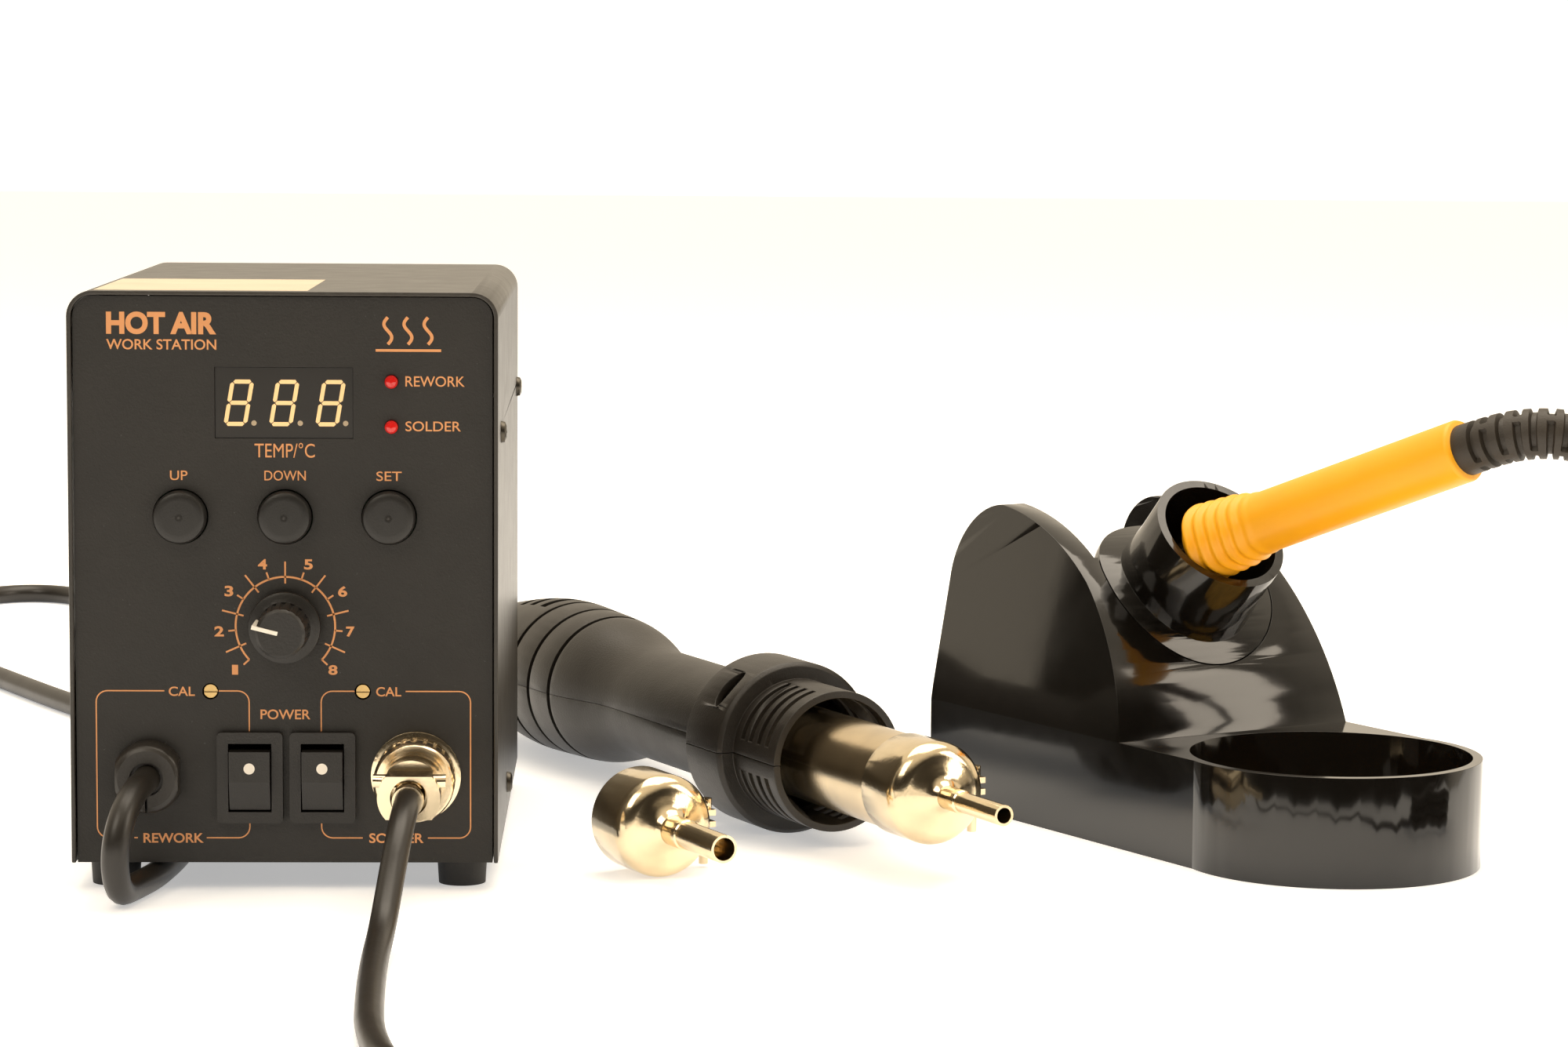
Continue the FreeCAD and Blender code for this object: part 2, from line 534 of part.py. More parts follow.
def make_nozzles():
    body, screw = nozzle_shapes(2.45)
    save("hot_nozzle", gun(put(body, (COLLAR_AT, 0, 0), (1, 0, 0))))
    save("hot_nozzle_screw", gun(put(screw, (COLLAR_AT, 0, 0), (1, 0, 0))))
    body, screw = nozzle_shapes(3.3)
    save("spare_nozzle", headed(body, SPARE_AT, SPARE_HEADING))
    save("spare_nozzle_screw", headed(screw, SPARE_AT, SPARE_HEADING))


def make_handle_boot():
    sections = [(HANDLE_END + 2.1, 0), (HANDLE_END + 2.1, 5.95), (HANDLE_END - 0.1, 5.95), (HANDLE_END - 0.1, 7.6),
                (HANDLE_END - 1.8, 7.6)]
    for step in range(7):
        a = HANDLE_END - 2.6 - 4.2 * step
        r = 7.2 - 0.45 * step
        sections += [(a, r), (a - 2.6, r - 0.2), (a - 2.6, r - 1.3), (a - 4.2, r - 1.4)]
    sections += [(HANDLE_END - 33.0, 3.9), (HANDLE_END - 33.0, 0)]
    save("handle_cable_boot", gun(turned(sections)))


# ---- Stand and iron ------------------------------------------------------------------------------
def stand(shape):
    return headed(shape, (STAND_AT[0], STAND_AT[1], 0), STAND_HEADING)


def through(a, b, c, inset=0.0):
    """Three (x, z) points of an arc, moved towards its centre by the inset."""
    curve = Part.Arc(*[Vector(x, 0, z) for x, z in (a, b, c)]).toShape().Curve
    middle = curve.Center
    scale = (curve.Radius - inset) / curve.Radius
    return [middle + (Vector(x, 0, z) - middle) * scale for x, z in (a, b, c)]


def slab(points_and_arcs, half):
    """A closed side view, given as straight stretches and three-point arcs, drawn out across the stand."""
    edges = []
    last = None
    first = None
    for stretch in points_and_arcs:
        if last is not None and last.distanceToPoint(stretch[0]) > 0.001:
            edges.append(Part.makeLine(last, stretch[0]))
        if len(stretch) == 3:
            edges.append(Part.Arc(*stretch).toShape())
        first = first or stretch[0]
        last = stretch[-1]
    edges.append(Part.makeLine(last, first))
    face = Part.Face(Part.Wire(edges))
    face.translate(Vector(0, -half, 0))
    return face.extrude(Vector(0, 2 * half, 0))


def tapered(half, low, high):
    """A block across the stand, upright up to the tray's height and leaning inwards above it."""
    lean = (high - TRAY_H) * math.tan(math.radians(CHEEK_LEAN))
    across = [(-half, low), (half, low), (half, TRAY_H), (half - lean, high), (lean - half, high), (-half, TRAY_H)]
    return prism_x(across, STAND_BACK - 20, FACE_X + 20)


FRONT_LOW = ((FACE_X, TRAY_H), (-45.1, 45.1), (-60.2, 63.7))
FRONT_HIGH = ((-60.2, 63.7), (-81.4, 75.1), (-101.0, STAND_TOP))
REAR_TOP = ((-101.0, STAND_TOP), (-114.0, 73.5), (-120.4, 58.0))


def front_band(outset, inset):
    """The front wall's curve as a band from outset in front of its face to inset behind it."""
    outer = [[Vector(FACE_X + outset, 0, 0)], through(*FRONT_LOW, inset=-outset),
             through(*FRONT_HIGH, inset=-outset)]
    low = through(*FRONT_LOW, inset=inset)
    high = through(*FRONT_HIGH, inset=inset)
    inner = [[high[2], high[1], low[2]], low[::-1], [Vector(FACE_X - inset, 0, 0)]]
    return slab(outer + inner, 60)


def make_stand():
    tray = fused([rod(TRAY_R, TRAY_H, (0, 0, 0), (0, 0, 1)), box(FACE_X - 1, 0, -STAND_HALF, STAND_HALF, 0, TRAY_H)])
    well = rod(WELL_R, TRAY_H, (0, 0, 3.0), (0, 0, 1))
    side = [[Vector(FACE_X, 0, 0)], through(*FRONT_LOW), through(*FRONT_HIGH), through(*REAR_TOP),
            [Vector(STAND_BACK, 0, 30)], [Vector(STAND_BACK, 0, 0)]]
    block = slab(side, STAND_HALF).common(tapered(STAND_HALF, 0, STAND_TOP + 1))

    # Space between the cheeks: behind the front wall down to the floor plate, and open above its lip
    low = through(*FRONT_LOW, inset=WEB_T)
    over = STAND_TOP + 6
    space = [[Vector(FACE_X - WEB_T, 0, 3.5)], low, [Vector(LIP[0] - 1.5, 0, LIP[1] - WEB_T)],
             [Vector(LIP[0], 0, LIP[1] + 0.2)], [Vector(LIP[0] + 1.0, 0, over)],
             [Vector(STAND_BACK - 10, 0, over)], [Vector(STAND_BACK - 10, 0, 3.5)]]
    block = block.cut(slab(space, 60).common(tapered(STAND_HALF - CHEEK_T, -1, over + 1)))

    axis = (math.cos(math.radians(TUBE_ELEVATION)), 0, math.sin(math.radians(TUBE_ELEVATION)))
    mouth = Vector(MOUTH[0], 0, MOUTH[1])
    along = Vector(*axis)
    foot = tuple(mouth - along * (TUBE_LEN + 15))
    block = block.cut(rod(DISC_R + 0.35, 60, foot, axis).common(front_band(2.0, DISC_T)))
    block = block.cut(rod(TUBE_R + 1.2, 60, foot, axis).common(tapered(STAND_HALF - CHEEK_T, 10, over + 1)))
    save("stand_body", stand(tray.fuse(block).cut(well).removeSplitter()))

    flange = rod(DISC_R, 60, foot, axis).common(front_band(0.0, DISC_T - 0.02))
    base = mouth - along * (TUBE_LEN - 5)
    tube_solid = fused([rod(TUBE_R, TUBE_LEN, tuple(mouth - along * TUBE_LEN), axis),
                        Part.makeCone(TUBE_R + 0.9, TUBE_R, 14, base, along)])
    holder = fused([tube_solid, flange]).cut(rod(TUBE_BORE, 60, tuple(mouth - along * (TUBE_LEN - 2.5)), axis))
    save("iron_holder", stand(holder))

    sponge = rod(WELL_R - 0.5, 10.0, (0, 0, 3.05), (0, 0, 1)).cut(rod(5.0, 12, (0, 0, 2), (0, 0, 1)))
    save("sponge", stand(sponge))


def iron(shape):
    return put(shape, IRON_AT, IRON_DIR)


def make_iron():
    waves = [(0, 3.2), (0, 9.6), (0.8, 10.3), (2.0, 10.5), (3.6, 9.5), (5.2, 10.3), (7.0, 9.3), (8.8, 10.0),
             (11.0, 8.9), (13.4, 9.2), (16.5, 8.1), (24.0, 7.7), (IRON_LEN - 1.0, 7.65), (IRON_LEN, 7.2),
             (IRON_LEN, 6.0), (IRON_LEN - 12, 6.0), (IRON_LEN - 12, 3.2)]
    handle = turned(waves)
    save("iron_handle", iron(handle))
    save("iron_shaft", iron(turned([(-12, 1.3), (-12, 2.3), (-3, 2.3), (-3, 3.1), (IRON_LEN - 13, 3.1),
                                    (IRON_LEN - 13, 1.3)])))
    save("iron_tip", iron(turned([(-20, 0), (-20, 0.4), (-13.5, 1.2), (-1, 1.2), (-1, 0)])))


def boot_route():
    """The iron's cable boot leaves along the handle, then droops to the right."""
    turn = Placement(Vector(*IRON_AT), Rotation(Vector(1, 0, 0), Vector(*IRON_DIR)))
    start = turn.multVec(Vector(IRON_LEN - 11.5, 0, 0))
    end = turn.multVec(Vector(IRON_LEN + 3.0, 0, 0))
    steps = [(9.0, -6.0, 3.5), (10.5, -3.2, 0.4), (11.0, 0.5, -3.2), (10.0, 4.0, -6.6), (8.0, 6.4, -9.0)]
    route = [tuple(start), tuple(end)]
    for step in steps:
        route.append(tuple(a + b for a, b in zip(route[-1], step)))
    return route


def make_cables():
    route = boot_route()
    save("iron_boot", tube(route, 11.6, "iron_boot"))
    out = [b - a for a, b in zip(route[-2], route[-1])]
    size = math.sqrt(sum(v * v for v in out))
    tip = route[-1]

    radius = IRON_CABLE_D / 2
    floor = radius
    cx, cy = COIL_AT
    coil_top = IRON_CABLE_D * COIL_TURNS + 0.4
    ring_out = COIL_MID_R + IRON_CABLE_D / 2 + 0.5
    ring_in = COIL_MID_R - IRON_CABLE_D / 2 - 0.5
    coil = Part.makeCylinder(ring_out, coil_top, Vector(cx, cy, 0))
    coil = coil.cut(Part.makeCylinder(ring_in, coil_top, Vector(cx, cy, 0)))
    save("iron_cable_coil", coil)

    land = (cx + COIL_MID_R, cy, coil_top)
    n = [v / size for v in out]
    riser = [tip,
             (tip[0] + n[0] * 11, tip[1] + n[1] * 11, tip[2] + n[2] * 11),
             (cx + 2.0, cy + 46.0, 66.0),
             (cx + 16.0, cy + 46.0, 52.0),
             (cx + 27.0, cy + 34.0, 43.0),
             (cx + 32.0, cy + 18.0, 38.0),
             (land[0], land[1], 32.0),
             land]
    save("iron_cable_riser", tube(riser, IRON_CABLE_D, "iron_cable_riser"))

    px, pz = CONNECTOR
    exit_y = PANEL_FACE - 36.0
    front = [(px, exit_y, pz), (px, exit_y - 8, pz), (px - 0.9, exit_y - 18, pz - 4.6),
             (px - 2.3, exit_y - 27, pz - 13.6), (px - 3.5, exit_y - 38, floor + 2.2),
             (px - 3.9, exit_y - 56, floor), (px - 2.7, exit_y - 88, floor), (px - 0.7, exit_y - 122, floor),
             (px + 5.5, exit_y - 154, floor), (px + 32, exit_y - 174, floor), (px + 78, exit_y - 178, floor),
             (px + 136, exit_y - 170, floor), (px + 192, exit_y - 160, floor), (px + 240, exit_y - 147, floor),
             (cx - 60, cy - 122, floor), (cx - 52, cy - 90, floor),
             (cx - 44, cy - 60, floor), (cx - 30, cy - 39, floor), (cx - 12, cy - COIL_MID_R, floor)]
    save("iron_cable_front", tube(front, IRON_CABLE_D, "iron_cable_front"))

    bx, bz = BUSHING
    gun_floor = GUN_CABLE_D / 2
    heading = math.radians(GUN_HEADING)
    tail = (GUN_AT[0] + (HANDLE_END - 33.0) * math.cos(heading), GUN_AT[1] + (HANDLE_END - 33.0) * math.sin(heading))
    back = (-math.cos(heading), -math.sin(heading))
    route = [(bx, PANEL_FACE - 4.4, bz), (bx, -10.0, bz), (bx - 1.3, -16.8, bz - 0.7),
             (bx - 3.5, -24.4, bz - 6.0), (bx - 4.8, -26.8, bz - 14.2), (bx - 4.4, -21.8, gun_floor + 0.6),
             (bx - 2.6, -12.6, gun_floor), (bx + 2.0, 6.0, gun_floor), (bx + 4.2, 40.0, gun_floor),
             (bx + 3.6, 96.0, gun_floor), (bx + 1.2, 150.0, gun_floor), (bx - 10.0, 195.0, gun_floor),
             (bx - 52.0, 262.0, gun_floor), (bx - 84.0, 322.0, gun_floor), (bx - 112.0, 376.0, gun_floor),
             (bx - 133.0, 432.0, gun_floor), (bx - 135.0, 478.0, gun_floor), (bx - 129.0, 513.0, gun_floor),
             (bx - 113.0, 534.0, gun_floor), (bx - 94.0, 533.0, gun_floor), (bx - 75.0, 508.0, gun_floor),
             (bx - 42.0, 456.0, gun_floor), (bx - 8.0, 400.0, gun_floor), (bx + 24.0, 344.0, gun_floor + 3),
             (tail[0] + back[0] * 42 + 1.0, tail[1] + back[1] * 42, gun_floor + 10),
             (tail[0] + back[0] * 14, tail[1] + back[1] * 14, GUN_AT[2]),
             (tail[0], tail[1], GUN_AT[2])]
    save("gun_cable", tube(route, GUN_CABLE_D, "gun_cable"))


make_case()
make_panel()
make_controls()
make_switches()
make_connectors()
make_insides()
make_handle()
make_guard()
make_heater()
make_fan()
make_nozzles()
make_handle_boot()
make_stand()
make_iron()
make_cables()
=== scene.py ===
"""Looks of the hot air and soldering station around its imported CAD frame."""
import math

import bmesh
import bpy
from mathutils import Matrix, Vector


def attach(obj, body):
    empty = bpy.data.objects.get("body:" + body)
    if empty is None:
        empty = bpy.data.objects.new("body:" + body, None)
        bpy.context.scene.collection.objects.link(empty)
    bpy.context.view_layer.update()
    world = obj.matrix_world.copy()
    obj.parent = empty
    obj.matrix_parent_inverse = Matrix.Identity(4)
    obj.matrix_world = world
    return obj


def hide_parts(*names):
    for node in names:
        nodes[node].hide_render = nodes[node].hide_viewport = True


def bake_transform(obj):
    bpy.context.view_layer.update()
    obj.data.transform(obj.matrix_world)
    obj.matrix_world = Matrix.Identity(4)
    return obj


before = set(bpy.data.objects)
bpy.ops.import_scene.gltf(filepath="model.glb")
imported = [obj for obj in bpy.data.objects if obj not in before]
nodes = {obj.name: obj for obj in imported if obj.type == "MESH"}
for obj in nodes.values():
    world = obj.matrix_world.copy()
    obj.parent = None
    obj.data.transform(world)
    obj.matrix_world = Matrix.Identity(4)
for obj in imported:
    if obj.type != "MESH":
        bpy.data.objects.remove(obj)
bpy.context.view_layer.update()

# Layout frame in mm: X from the case's middle, Y back from the panel's rim, Z up.
CENTRE = (141.32, 124.15)
PANEL_FACE = 1.0
GUN_AT, GUN_HEADING = (113.0, 92.5, 21.8), -65.3
IRON_AT, IRON_DIR, IRON_LEN = (223.6, 77.5, 73.3), (0.664, -0.660, 0.351), 82.0
GUN_CABLE_D, IRON_CABLE_D = 6.3, 6.0


def at(x, y, z):
    return Vector(((x - CENTRE[0]) / 1000, (y - CENTRE[1]) / 1000, z / 1000))


def axes(origin, direction):
    turn = Vector((1, 0, 0)).rotation_difference(Vector(direction).normalized()).to_matrix().to_4x4()
    return Matrix.Translation(at(*origin)) @ turn @ Matrix.Scale(0.001, 4)


def heading(degrees):
    return (math.cos(math.radians(degrees)), math.sin(math.radians(degrees)), 0)


def link(name, mesh, body, material, smooth=True):
    """Puts a mesh in the scene as a piece that rides on a body."""
    piece = bpy.data.objects.new(name, mesh)
    bpy.context.scene.collection.objects.link(piece)
    mesh.materials.clear()
    mesh.materials.append(material)
    for face in mesh.polygons:
        face.use_smooth = smooth
    if body:
        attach(piece, body)
    return piece


def from_bmesh(name, bm, body, material, smooth=True):
    mesh = bpy.data.meshes.new(name)
    bm.to_mesh(mesh)
    bm.free()
    return link(name, mesh, body, material, smooth)


# ---- Materials ----------------------------------------------------------------------------------
def surface(name, colour, rough, metal=0.0, vary=0.15, vary_scale=60.0, bump=0.0, bump_scale=900.0,
            coat=0.0, specks=0.0, specular=0.5, rough_vary=0.06, emission=0.0):
    """A principled surface whose colour, roughness and grain come from noise at the material's own scale."""
    material = bpy.data.materials.new(name)
    material.use_nodes = True
    tree = material.node_tree
    shader = tree.nodes["Principled BSDF"]
    shader.inputs["Metallic"].default_value = metal
    shader.inputs["Coat Weight"].default_value = coat
    shader.inputs["Coat Roughness"].default_value = 0.06
    shader.inputs["Specular IOR Level"].default_value = specular
    place = tree.nodes.new("ShaderNodeTexCoord")

    def noise(scale, detail):
        node = tree.nodes.new("ShaderNodeTexNoise")
        node.inputs["Scale"].default_value = scale
        node.inputs["Detail"].default_value = detail
        tree.links.new(place.outputs["Object"], node.inputs["Vector"])
        return node

    patches = noise(vary_scale, 6.0)
    ramp = tree.nodes.new("ShaderNodeValToRGB")
    ramp.color_ramp.elements[0].position = 0.3
    ramp.color_ramp.elements[1].position = 0.7
    ramp.color_ramp.elements[0].color = [c * (1 - vary) for c in colour] + [1]
    ramp.color_ramp.elements[1].color = [min(1.0, c * (1 + vary)) for c in colour] + [1]
    tree.links.new(patches.outputs["Fac"], ramp.inputs["Fac"])
    tint = ramp.outputs["Color"]
    if specks:
        dust = noise(1400.0, 2.0)
        pick = tree.nodes.new("ShaderNodeValToRGB")
        pick.color_ramp.elements[0].position = 0.74
        pick.color_ramp.elements[1].position = 0.80
        tree.links.new(dust.outputs["Fac"], pick.inputs["Fac"])
        mix = tree.nodes.new("ShaderNodeMix")
        mix.data_type = "RGBA"
        mix.inputs[7].default_value = [c + specks for c in colour] + [1]
        tree.links.new(pick.outputs["Color"], mix.inputs[0])
        tree.links.new(tint, mix.inputs[6])
        tint = mix.outputs[2]
    tree.links.new(tint, shader.inputs["Base Color"])
    if emission:
        tree.links.new(tint, shader.inputs["Emission Color"])
        shader.inputs["Emission Strength"].default_value = emission

    span = tree.nodes.new("ShaderNodeMapRange")
    span.inputs["To Min"].default_value = max(0.02, rough - rough_vary)
    span.inputs["To Max"].default_value = min(1.0, rough + rough_vary)
    tree.links.new(noise(vary_scale * 2.3, 4.0).outputs["Fac"], span.inputs["Value"])
    tree.links.new(span.outputs["Result"], shader.inputs["Roughness"])
    if bump:
        grain = tree.nodes.new("ShaderNodeBump")
        grain.inputs["Strength"].default_value = bump
        grain.inputs["Distance"].default_value = 0.0002
        tree.links.new(noise(bump_scale, 3.0).outputs["Fac"], grain.inputs["Height"])
        tree.links.new(grain.outputs["Normal"], shader.inputs["Normal"])
    return material


COVER = surface("cover_paint", (0.030, 0.026, 0.021), 0.34, bump=0.25, bump_scale=1500, specks=0.02)
PANEL = surface("panel_paint", (0.0105, 0.0088, 0.0070), 0.55, bump=0.35, bump_scale=1800, specks=0.03)
PAN = surface("pan_paint", (0.022, 0.020, 0.017), 0.45, bump=0.3, bump_scale=1500)
SCREW = surface("black_zinc", (0.10, 0.09, 0.075), 0.35, metal=1.0, bump=0.1)
RUBBER = surface("black_rubber", (0.012, 0.011, 0.010), 0.62, bump=0.3, bump_scale=2200)
WINDOW = surface("smoked_window", (0.012, 0.010, 0.008), 0.16, vary=0.05, specular=0.4)
DIGIT = surface("digit_segments", (0.93, 0.62, 0.30), 0.45, vary=0.04, emission=0.12)
DOT = surface("digit_dots", (0.42, 0.33, 0.22), 0.5, vary=0.05)
BOARD = surface("board_green", (0.03, 0.16, 0.06), 0.4, bump=0.2)
BLOCK = surface("part_bodies", (0.03, 0.03, 0.03), 0.5, bump=0.2)
LAMP = surface("lamp_red", (0.55, 0.012, 0.010), 0.12, vary=0.2, coat=0.6, emission=0.10)
BUTTON = surface("button_plastic", (0.0085, 0.0075, 0.0065), 0.42, bump=0.15, bump_scale=2500)
KNOB = surface("knob_plastic", (0.010, 0.0085, 0.0070), 0.40, bump=0.25, bump_scale=1800)
WHITE = surface("pointer_white", (0.86, 0.80, 0.70), 0.4, vary=0.05)
BRASS = surface("trimmer_brass", (0.60, 0.42, 0.18), 0.3, metal=1.0)
SWITCH = surface("switch_plastic", (0.0095, 0.0080, 0.0066), 0.44, bump=0.25, bump_scale=2200)
BUSHING = surface("bushing_plastic", (0.018, 0.015, 0.012), 0.38, bump=0.25, bump_scale=1600)
PLATED = surface("plated_brass", (0.86, 0.72, 0.50), 0.16, metal=1.0, vary=0.06, bump=0.08, bump_scale=600)
STEEL = surface("heater_steel", (0.72, 0.58, 0.38), 0.20, metal=1.0, vary=0.16, vary_scale=45, bump=0.12)
NOZZLE = surface("nozzle_steel", (0.80, 0.66, 0.44), 0.15, metal=1.0, vary=0.14, vary_scale=70, bump=0.12)
IRONWORK = surface("transformer_iron", (0.16, 0.14, 0.12), 0.5, metal=0.6)
INLET = surface("inlet_plastic", (0.012, 0.012, 0.012), 0.3)
HANDLE = surface("handle_plastic", (0.018, 0.0148, 0.0115), 0.42, bump=0.35, bump_scale=2000, vary=0.10)
MICA = surface("mica_sleeve", (0.45, 0.36, 0.24), 0.5, bump=0.2)
CERAMIC = surface("heater_ceramic", (0.70, 0.64, 0.54), 0.6, bump=0.2)
ORANGE = surface("iron_handle_plastic", (1.0, 0.44, 0.010), 0.42, vary=0.035, bump=0.10, bump_scale=1500)
STAND = surface("stand_gloss", (0.0045, 0.0038, 0.0030), 0.11, vary=0.12, coat=0.25, bump=0.03, bump_scale=300)
SPONGE = surface("sponge_yellow", (0.72, 0.42, 0.08), 0.9, vary=0.25, vary_scale=260, bump=0.9, bump_scale=420)
CABLE = surface("cable_rubber", (0.014, 0.0115, 0.0090), 0.36, bump=0.12, bump_scale=1400, vary=0.12)
BOOT = surface("boot_rubber", (0.030, 0.023, 0.016), 0.52, bump=0.3, bump_scale=2200)
LEGEND = surface("legend_orange", (0.66, 0.29, 0.11), 0.55, vary=0.05)
LABEL = surface("label_paper", (0.62, 0.52, 0.38), 0.55, vary=0.06, bump=0.2)

DRESS = {
    "case_cover": COVER, "chassis_pan": PAN, "front_panel": PANEL, "case_screws": SCREW, "handle_screws": SCREW,
    "feet": RUBBER, "display_module": WINDOW, "control_board": BOARD, "power_board": BOARD,
    "tact_switches": BLOCK, "cal_trimmers": BLOCK, "indicator_leds": LAMP, "up_button": BUTTON,
    "down_button": BUTTON, "set_button": BUTTON, "air_potentiometer": PLATED, "air_knob": KNOB,
    "knob_pointer": WHITE, "rework_cal_screw": BRASS, "solder_cal_screw": BRASS,
    "rework_switch_housing": SWITCH, "solder_switch_housing": SWITCH, "rework_rocker": SWITCH,
    "solder_rocker": SWITCH, "cable_bushing": BUSHING, "iron_socket": PLATED, "iron_plug": PLATED,
    "plug_coupling_nut": PLATED, "transformer": IRONWORK, "mains_inlet": INLET, "fuse_drawer": INLET,
    "handle_upper_shell": HANDLE, "handle_lower_shell": HANDLE, "guard_upper_half": HANDLE,
    "guard_lower_half": HANDLE, "fan_frame": HANDLE, "fan_impeller": HANDLE, "heater_tube": STEEL,
    "mica_sleeve": MICA, "heater_core": CERAMIC, "handle_cable_boot": BOOT, "hot_nozzle": NOZZLE,
    "spare_nozzle": NOZZLE, "hot_nozzle_screw": NOZZLE, "spare_nozzle_screw": NOZZLE, "iron_handle": ORANGE,
    "iron_shaft": STEEL, "iron_tip": PLATED, "iron_boot": BOOT, "stand_body": STAND, "iron_holder": STAND,
    "sponge": SPONGE,
}
for name, material in DRESS.items():
    for slot in nodes[name].material_slots:
        slot.material = material

# Rounded edges: seams between CAD faces are welded for the bevel, which only the shading shows
EDGES = {
    "case_cover": 0.3, "front_panel": 0.25, "up_button": 0.35, "down_button": 0.35, "set_button": 0.35,
    "air_knob": 0.2, "knob_pointer": 0.12, "rework_switch_housing": 0.4, "solder_switch_housing": 0.4,
    "rework_rocker": 0.3, "solder_rocker": 0.3, "cable_bushing": 0.35, "iron_socket": 0.15, "iron_plug": 0.25,
    "plug_coupling_nut": 0.12, "feet": 0.4, "stand_body": 1.0, "iron_holder": 0.5, "handle_upper_shell": 0.25,
    "handle_lower_shell": 0.25, "guard_upper_half": 0.25, "guard_lower_half": 0.25, "hot_nozzle": 0.12,
    "spare_nozzle": 0.12, "hot_nozzle_screw": 0.15, "spare_nozzle_screw": 0.15, "mains_inlet": 0.3,
    "fuse_drawer": 0.2, "chassis_pan": 0.2, "case_screws": 0.12,
}
for name, width in EDGES.items():
    weld = nodes[name].modifiers.new("weld", "WELD")
    weld.merge_threshold = 0.00002
    bevel = nodes[name].modifiers.new("bevel", "BEVEL")
    bevel.width = width / 1000
    bevel.segments = 3
    bevel.limit_method = "ANGLE"
    bevel.angle_limit = math.radians(38)
    bevel.harden_normals = True


# ---- Camera, light and floor ----------------------------------------------------------------------
def make_camera():
    data = bpy.data.cameras.new("camera")
    data.sensor_width = 36.0
    data.lens = 94.14
    data.clip_start = 0.01
    camera = bpy.data.objects.new("camera", data)
    bpy.context.scene.collection.objects.link(camera)
    turn = Matrix.Rotation(-0.03538, 4, "Z") @ Matrix.Rotation(math.pi / 2 - 0.106, 4, "X")
    roll = Matrix.Rotation(0.00776, 4, "Z")
    camera.matrix_world = Matrix.Translation(at(81.91, -941.43, 186.57)) @ turn @ roll
    bpy.context.scene.camera = camera


def softbox(name, place, aim, width, height, power, colour):
    data = bpy.data.lights.new(name, "AREA")
    data.shape = "RECTANGLE"
    data.size = width
    data.size_y = height
    data.energy = power
    data.color = colour
    light = bpy.data.objects.new(name, data)
    bpy.context.scene.collection.objects.link(light)
    look = (Vector(aim) - Vector(place)).to_track_quat("-Z", "Y").to_matrix().to_4x4()
    light.matrix_world = Matrix.Translation(Vector(place)) @ look


def make_world():
    world = bpy.data.worlds.new("studio")
    bpy.context.scene.world = world
    world.use_nodes = True
    tree = world.node_tree
    ground = tree.nodes["Background"]
    place = tree.nodes.new("ShaderNodeTexCoord")
    split = tree.nodes.new("ShaderNodeSeparateXYZ")
    tree.links.new(place.outputs["Generated"], split.inputs["Vector"])
    back = tree.nodes.new("ShaderNodeMapRange")
    back.interpolation_type = "SMOOTHSTEP"
    back.inputs["From Min"].default_value = -0.35
    back.inputs["From Max"].default_value = 0.25
    back.inputs["To Min"].default_value = 0.035
    back.inputs["To Max"].default_value = 1.0
    tree.links.new(split.outputs["Y"], back.inputs["Value"])
    up = tree.nodes.new("ShaderNodeMapRange")
    up.interpolation_type = "SMOOTHSTEP"
    up.inputs["From Min"].default_value = 0.35
    up.inputs["From Max"].default_value = 0.85
    up.inputs["To Min"].default_value = 0.0
    up.inputs["To Max"].default_value = 0.9
    tree.links.new(split.outputs["Z"], up.inputs["Value"])
    most = tree.nodes.new("ShaderNodeMath")
    most.operation = "MAXIMUM"
    tree.links.new(back.outputs["Result"], most.inputs[0])
    tree.links.new(up.outputs["Result"], most.inputs[1])
    path = tree.nodes.new("ShaderNodeLightPath")
    shown = tree.nodes.new("ShaderNodeMix")
    shown.data_type = "RGBA"
    shown.inputs[6].default_value = (1.0, 0.86, 0.66, 1)
    shown.inputs[7].default_value = (1.25, 1.25, 1.25, 1)
    tree.links.new(path.outputs["Is Camera Ray"], shown.inputs[0])
    strength = tree.nodes.new("ShaderNodeMath")
    strength.operation = "MAXIMUM"
    tree.links.new(most.outputs["Value"], strength.inputs[0])
    tree.links.new(path.outputs["Is Camera Ray"], strength.inputs[1])
    tree.links.new(shown.outputs[2], ground.inputs["Color"])
    tree.links.new(strength.outputs["Value"], ground.inputs["Strength"])


def make_floor():
    mesh = bpy.data.meshes.new("floor")
    size = 6.0
    corners = [(-size, -size, 0), (size, -size, 0), (size, size, 0), (-size, size, 0)]
    mesh.from_pydata(corners, [], [(0, 1, 2, 3)])
    material = surface("floor_white", (0.93, 0.93, 0.93), 0.6, vary=0.01, emission=0.45)
    floor = link("floor", mesh, None, material)


make_camera()
make_world()
make_floor()
softbox("key", (-0.9, -1.1, 1.3), (0, 0, 0.05), 0.9, 0.9, 9, (1.0, 0.90, 0.76))
softbox("top", (0.1, 0.2, 1.5), (0, 0, 0), 1.6, 1.2, 22, (1.0, 0.90, 0.76))
softbox("right", (1.3, -0.5, 0.7), (0.05, 0, 0.05), 0.5, 0.9, 7, (1.0, 0.88, 0.72))
bpy.context.scene.view_settings.view_transform = "Standard"


# ---- Cables ---------------------------------------------------------------------------------------
def route_curve(name, points, diameter):
    """One open NURBS spline through a cable's route, in metres."""
    data = bpy.data.curves.new(name, "CURVE")
    data.dimensions = "3D"
    data.resolution_u = 14
    spline = data.splines.new("NURBS")
    spline.points.add(len(points) - 1)
    for point, place in zip(spline.points, points):
        point.co = (*place, 1.0)
    spline.order_u = 3
    spline.use_endpoint_u = True
    data.bevel_depth = diameter / 2
    data.bevel_resolution = 5
    data.use_fill_caps = True
    return data


